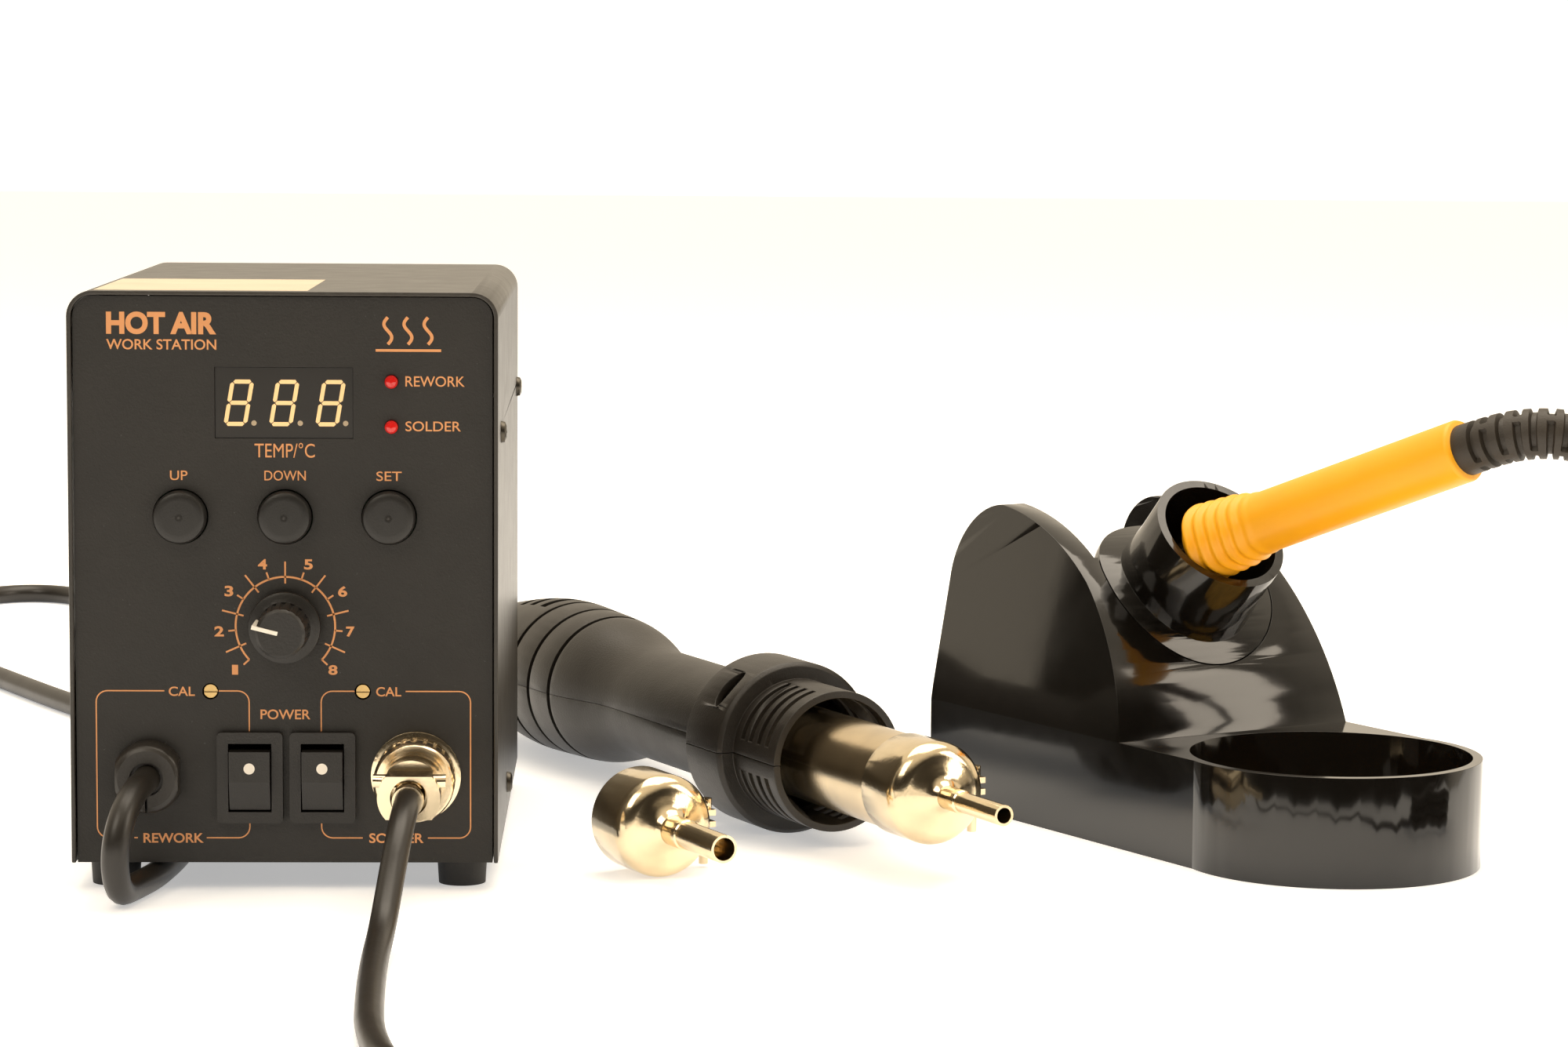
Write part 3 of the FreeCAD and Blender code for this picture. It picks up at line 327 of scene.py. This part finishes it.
def line_of(points):
    """Points read along the route's smooth curve."""
    data = route_curve("line", points, 0)
    data.bevel_depth = 0
    data.use_fill_caps = False
    holder = bpy.data.objects.new("line", data)
    bpy.context.scene.collection.objects.link(holder)
    bpy.context.view_layer.update()
    mesh = bpy.data.meshes.new_from_object(holder)
    line = [v.co.copy() for v in mesh.vertices]
    bpy.data.objects.remove(holder)
    bpy.data.meshes.remove(mesh)
    return line


def cable_mesh(name, points, diameter):
    data = route_curve(name, points, diameter)
    holder = bpy.data.objects.new(name + "_curve", data)
    bpy.context.scene.collection.objects.link(holder)
    bpy.context.view_layer.update()
    mesh = bpy.data.meshes.new_from_object(holder)
    bpy.data.objects.remove(holder)
    return link(name, mesh, None, CABLE)


def swept(line, radius_at, around=32):
    """A tube along a line whose radius is a function of the distance along it, in metres."""
    bm = bmesh.new()
    rings = []
    normal = None
    run = 0.0
    for i, here in enumerate(line):
        ahead = line[min(i + 1, len(line) - 1)] - line[max(i - 1, 0)]
        ahead.normalize()
        if i:
            run += (here - line[i - 1]).length
        if normal is None:
            normal = ahead.cross(Vector((0, 0, 1))).normalized()
        normal = (normal - ahead * normal.dot(ahead)).normalized()
        side = ahead.cross(normal)
        ring = []
        for k in range(around):
            turn = 2 * math.pi * k / around
            out = normal * math.cos(turn) + side * math.sin(turn)
            ring.append(bm.verts.new(here + out * radius_at(run, turn)))
        rings.append(ring)
    for a, b in zip(rings, rings[1:]):
        for k in range(around):
            bm.faces.new((a[k], a[(k + 1) % around], b[(k + 1) % around], b[k]))
    bm.faces.new(list(reversed(rings[0])))
    bm.faces.new(rings[-1])
    return bm


def finer(line, step):
    """The same line with evenly spaced points."""
    out = [line[0].copy()]
    left = step
    for a, b in zip(line, line[1:]):
        length = (b - a).length
        done = 0.0
        while length - done >= left:
            done += left
            out.append(a + (b - a) * (done / length))
            left = step
        left -= length - done
    if (out[-1] - line[-1]).length > step * 0.2:
        out.append(line[-1].copy())
    return out


def boot_points():
    turn = axes(IRON_AT, IRON_DIR)
    points = [turn @ Vector((IRON_LEN - 11.5, 0, 0)), turn @ Vector((IRON_LEN + 3.0, 0, 0))]
    for step in ((9.0, -6.0, 3.5), (10.5, -3.2, 0.4), (11.0, 0.5, -3.2), (10.0, 4.0, -6.6), (8.0, 6.4, -9.0)):
        points.append(points[-1] + Vector(step) / 1000)
    return points


def make_gun_cable():
    bx, bz, floor = -31.4, 27.0, GUN_CABLE_D / 2
    along = heading(GUN_HEADING)
    tail = (GUN_AT[0] - 194.0 * along[0], GUN_AT[1] - 194.0 * along[1])
    route = [(bx, PANEL_FACE - 4.4, bz), (bx, -10.0, bz), (bx - 1.3, -16.8, bz - 0.7),
             (bx - 3.5, -24.4, bz - 6.0), (bx - 4.8, -26.8, bz - 14.2), (bx - 4.4, -21.8, floor + 0.6),
             (bx - 2.6, -12.6, floor), (bx + 2.0, 6.0, floor), (bx + 4.2, 40.0, floor),
             (bx + 3.6, 96.0, floor), (bx + 1.2, 150.0, floor), (bx - 10.0, 195.0, floor),
             (bx - 52.0, 262.0, floor), (bx - 84.0, 322.0, floor), (bx - 112.0, 376.0, floor),
             (bx - 133.0, 432.0, floor), (bx - 135.0, 478.0, floor), (bx - 129.0, 513.0, floor),
             (bx - 113.0, 534.0, floor), (bx - 94.0, 533.0, floor), (bx - 75.0, 508.0, floor),
             (bx - 42.0, 456.0, floor), (bx - 8.0, 400.0, floor), (bx + 24.0, 344.0, floor + 3),
             (tail[0] - along[0] * 42 + 1.0, tail[1] - along[1] * 42, floor + 10),
             (tail[0] - along[0] * 14, tail[1] - along[1] * 14, GUN_AT[2]), (tail[0], tail[1], GUN_AT[2])]
    points = [at(*p) for p in route]
    line = line_of(points)
    cable = cable_mesh("handpiece_cable", points, GUN_CABLE_D / 1000)
    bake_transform(cable)
    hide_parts("gun_cable")


def make_iron_cable():
    px, pz, floor = 30.3, 27.1, IRON_CABLE_D / 2
    cx, cy, mid = 350.0, -22.0, 32.0
    exit_y = PANEL_FACE - 36.0
    front = [(px, exit_y, pz), (px, exit_y - 8, pz), (px - 0.9, exit_y - 18, pz - 4.6),
             (px - 2.3, exit_y - 27, pz - 13.6), (px - 3.5, exit_y - 38, floor + 2.2),
             (px - 3.9, exit_y - 56, floor), (px - 2.7, exit_y - 88, floor), (px - 0.7, exit_y - 122, floor),
             (px + 5.5, exit_y - 154, floor), (px + 32, exit_y - 174, floor), (px + 78, exit_y - 178, floor),
             (px + 136, exit_y - 170, floor), (px + 192, exit_y - 160, floor), (px + 240, exit_y - 147, floor),
             (cx - 60, cy - 122, floor), (cx - 52, cy - 90, floor),
             (cx - 44, cy - 60, floor), (cx - 30, cy - 39, floor), (cx - 12, cy - mid, floor)]
    points = [at(*p) for p in front]
    for step in range(37):
        turn = math.radians(-75 + 30 * step)
        rise = IRON_CABLE_D * step / 12
        points.append(at(cx + (mid + 0.7) * math.cos(turn), cy + (mid + 0.7) * math.sin(turn), floor + rise))
    points += [at(cx + mid, cy - 6, 24.0), at(cx + mid, cy, 32.0), at(cx + 32, cy + 18, 38.0),
               at(cx + 27, cy + 34, 43.0), at(cx + 16, cy + 46, 52.0), at(cx + 2, cy + 46, 66.0)]
    boot = boot_points()
    tip = boot[-1]
    ahead = (boot[-1] - boot[-2]).normalized()
    points += [tip + ahead * 0.011, tip]
    line = line_of(points)
    cable = cable_mesh("iron_cable", points, IRON_CABLE_D / 1000)
    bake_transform(cable)
    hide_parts("iron_cable_front", "iron_cable_coil", "iron_cable_riser")


def make_iron_boot():
    """The iron's ribbed cable boot: rings joined by staggered bridges."""
    line = finer(line_of(boot_points()), 0.00035)

    first, last, pitch, groove, depth = 15.5, 72, 3.35, 0.42, 1.25

    def radius(run, turn):
        plain = 6.35 - 0.011 * run * 1000
        run = run * 1000
        if run < first or run > last:
            return plain / 1000
        step = (run - first) / pitch
        bridge = abs(math.cos(turn - math.pi * 0.5 * int(step) - 0.9)) > 0.985
        if step % 1.0 >= groove or bridge:
            return plain / 1000
        return (plain - depth) / 1000

    boot = from_bmesh("iron_boot_ribs", swept(line, radius, 72), "iron", BOOT, smooth=False)
    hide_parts("iron_boot")


def make_iron_handle():
    """The iron's grip: wavy, four-lobed ridges that fade into a plain round barrel."""
    ahead = Vector(IRON_DIR).normalized()
    start = at(*IRON_AT)
    line = [start + ahead * (0.0004 * step) for step in range(206)]

    def radius(run, turn):
        run = run * 1000
        fade = min(max((run - 13.0) / 10.0, 0.0), 1.0)
        fade = fade * fade * (3 - 2 * fade)
        ridge = 9.75 - 0.075 * run + 0.5 * math.cos(2 * math.pi * (run - 1.9 - 0.35 * math.cos(4 * turn)) / 3.5)
        barrel = 7.62
        size = ridge * (1 - fade) + barrel * fade
        size -= max(0.0, 0.9 - run) * 0.9 + max(0.0, run - 81.3) * 0.7
        return size / 1000

    grip = from_bmesh("iron_grip", swept(line, radius, 96), "iron", ORANGE)
    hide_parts("iron_handle")


make_gun_cable()
make_iron_cable()
make_iron_boot()
make_iron_handle()


# ---- Panel printing --------------------------------------------------------------------------------
def word_mesh(text, u0, u1, z0, z1, weight=0.0, lift=0.03):
    """Lettering fitted to a rectangle on the panel, standing a hair proud of the paint."""
    data = bpy.data.curves.new("word", "FONT")
    data.body = text
    data.offset = weight
    data.extrude = 0.0
    data.resolution_u = 6
    holder = bpy.data.objects.new("word", data)
    bpy.context.scene.collection.objects.link(holder)
    bpy.context.view_layer.update()
    mesh = bpy.data.meshes.new_from_object(holder)
    bpy.data.objects.remove(holder)
    xs = [v.co.x for v in mesh.vertices]
    ys = [v.co.y for v in mesh.vertices]
    wide, tall = max(xs) - min(xs), max(ys) - min(ys)
    for v in mesh.vertices:
        u = u0 + (v.co.x - min(xs)) / wide * (u1 - u0)
        z = z0 + (v.co.y - min(ys)) / tall * (z1 - z0)
        v.co = at(u, PANEL_FACE - lift, z)
    return mesh


def strip(bm, path, width, y, closed=False):
    """A flat printed line of even width along (u, z) points on the panel."""
    points = [Vector((u, z)) for u, z in path]
    left = []
    right = []
    count = len(points)
    for i, here in enumerate(points):
        before = points[i - 1] if i or closed else here
        after = points[(i + 1) % count] if i < count - 1 or closed else here
        run = (after - before).normalized()
        side = Vector((-run.y, run.x)) * width / 2
        left.append(bm.verts.new(at(here.x + side.x, y, here.y + side.y)))
        right.append(bm.verts.new(at(here.x - side.x, y, here.y - side.y)))
    spans = count if closed else count - 1
    for i in range(spans):
        j = (i + 1) % count
        bm.faces.new((left[i], right[i], right[j], left[j]))


def bow(u, z, radius, first, last, steps=24):
    """Points of an arc from one angle to another, in degrees."""
    out = []
    for i in range(steps + 1):
        turn = math.radians(first + (last - first) * i / steps)
        out.append((u + radius * math.cos(turn), z + radius * math.sin(turn)))
    return out


def make_legends():
    words = [
        ("HOT AIR", -40.3, -15.2, 129.2, 134.4, 0.045), ("WORK STATION", -40.3, -15.2, 125.7, 128.1, 0.012),
        ("REWORK", 28.0, 41.6, 117.5, 119.9, 0.006), ("SOLDER", 28.0, 40.7, 107.2, 109.5, 0.006),
        ("TEMP/°C", -6.6, 7.2, 101.0, 104.4, 0.0), ("UP", -26.0, -22.0, 95.7, 97.9, 0.004),
        ("DOWN", -4.4, 5.1, 95.7, 98.0, 0.004), ("SET", 21.3, 27.1, 95.7, 97.9, 0.004),
        ("CAL", -26.7, -20.7, 45.6, 47.8, 0.012), ("CAL", 21.1, 26.9, 45.6, 47.8, 0.012),
        ("POWER", -5.6, 5.9, 40.2, 42.5, 0.012), ("REWORK", -32.8, -18.9, 11.2, 13.5, 0.02),
        ("SOLDER", 19.4, 32.0, 11.2, 13.5, 0.02),
        ("1", -12.1, -10.7, 50.6, 52.9, 0.03), ("2", -16.1, -13.9, 59.5, 61.9, 0.03),
        ("3", -13.7, -11.7, 68.8, 71.3, 0.03), ("4", -6.0, -3.9, 75.1, 77.5, 0.03),
        ("5", 4.6, 6.6, 75.1, 77.5, 0.03), ("6", 12.4, 14.5, 68.8, 71.3, 0.03),
        ("7", 14.2, 16.2, 59.5, 61.9, 0.03), ("8", 10.1, 12.2, 50.6, 52.9, 0.03),
    ]
    bm = bmesh.new()
    for word in words:
        mesh = word_mesh(*word)
        bm.from_mesh(mesh)
        bpy.data.meshes.remove(mesh)

    y = PANEL_FACE - 0.03
    cu, cz = 0.25, 61.95
    strip(bm, bow(cu, cz, 11.45, 223, -43, 60), 0.45, y)
    for step in range(15):
        turn = math.radians(223 - 19 * step)
        inner, outer = (9.9, 15.0) if step % 2 else (11.4, 13.2)
        ends = [(cu + r * math.cos(turn), cz + r * math.sin(turn)) for r in (inner, outer)]
        strip(bm, ends, 0.4, y)

    left, right, low, high, r = -43.4, -8.2, 12.4, 46.8, 2.6
    strip(bm, [(-27.7, high)] + bow(left + r, high - r, r, 90, 180, 8)
          + bow(left + r, low + r, r, 180, 262, 8), 0.3, y)
    strip(bm, [(-34.9, low), (-34.1, low)], 0.3, y)
    strip(bm, [(-15.2, high)] + bow(right - r, high - r, r, 90, 0, 8) + [(right, 37.4)], 0.3, y)
    strip(bm, [(right, 15.9), (right, low + r)] + bow(right - r, low + r, r, 0, -90, 8)
          + [(-18.2, low)], 0.3, y)
    left, right = 8.4, 42.9
    strip(bm, [(16.1, high)] + bow(left + r, high - r, r, 90, 180, 8) + [(left, 37.4)], 0.3, y)
    strip(bm, [(left, 15.9), (left, low + r)] + bow(left + r, low + r, r, 180, 270, 8) + [(17.9, low)], 0.3, y)
    strip(bm, [(27.9, high)] + bow(right - r, high - r, r, 90, 0, 8) + bow(right - r, low + r, r, 0, -90, 8)
          + [(33.0, low)], 0.3, y)

    for k in range(3):
        wave = [(24.0 + 4.6 * k + 0.9 * math.sin(i / 20 * 2 * math.pi), 127.2 + 6.2 * i / 20)
                for i in range(21)]
        strip(bm, wave, 0.75, y)
    strip(bm, [(21.2, 125.8), (36.2, 125.8)], 0.6, y)
    legends = from_bmesh("panel_legends", bm, "root", LEGEND, smooth=False)


def make_digits():
    """Three slanted seven-segment digits with their dots behind the window's face."""
    bm = bmesh.new()
    y = PANEL_FACE + 0.45
    wide, tall, bar, gap, slant = 5.4, 10.7, 0.95, 0.16, 0.17

    def segment(base_u, base_z, a, b):
        a, b = Vector(a), Vector(b)
        run = (b - a).normalized()
        side = Vector((-run.y, run.x)) * bar / 2
        a, b = a + run * gap, b - run * gap
        shape = [a, a + run * bar * 0.42 + side, b - run * bar * 0.42 + side, b,
                 b - run * bar * 0.42 - side, a + run * bar * 0.42 - side]
        bm.faces.new([bm.verts.new(at(base_u + p.x + p.y * slant, y, base_z + p.y)) for p in shape])

    h = bar / 2
    for base in (-13.8, -3.4, 7.2):
        corners = {"tl": (h, tall - h), "tr": (wide - h, tall - h), "ml": (h, tall / 2),
                   "mr": (wide - h, tall / 2), "bl": (h, h), "br": (wide - h, h)}
        for ends in ("tl tr", "ml mr", "bl br", "tl ml", "tr mr", "ml bl", "mr br"):
            a, b = ends.split()
            segment(base, 108.2, corners[a], corners[b])
    digits = from_bmesh("display_digits", bm, "root", DIGIT, smooth=False)

    bm = bmesh.new()
    for u in (-6.75, 3.85, 14.25):
        ring = [bm.verts.new(at(p[0], y, p[1])) for p in bow(u, 108.9, 0.62, 0, 345, 23)]
        bm.faces.new(ring)
    dots = from_bmesh("display_dots", bm, "root", DOT, smooth=False)


def make_rocker_dots():
    """A pale dot on the raised end of each rocker."""
    tilt = math.radians(9)
    pivot_y, face_out, rise, lift = 2.6, 4.9, 2.4, 0.3
    y = pivot_y - face_out * math.cos(tilt) - rise * math.sin(tilt) + lift
    z = 26.7 + rise
    for u, word in ((-8.0, "rework"), (8.75, "solder")):
        bm = bmesh.new()
        bm.faces.new([bm.verts.new(at(u + p[0], y, z + p[1])) for p in bow(0, 0, 1.28, 0, 350, 35)])
        dot = from_bmesh(word + "_dot", bm, word + "_rocker", WHITE, smooth=False)


def make_label():
    """The pale blank label on the front left of the cover's top."""
    bm = bmesh.new()
    corners = [(-43.5, 3.0), (5.5, 3.0), (5.5, 58.0), (-43.5, 58.0)]
    height = 139.23
    bm.faces.new([bm.verts.new(at(x, y, height)) for x, y in corners])
    label = from_bmesh("top_label", bm, "root", LABEL, smooth=False)


make_legends()
make_digits()
make_rocker_dots()
make_label()
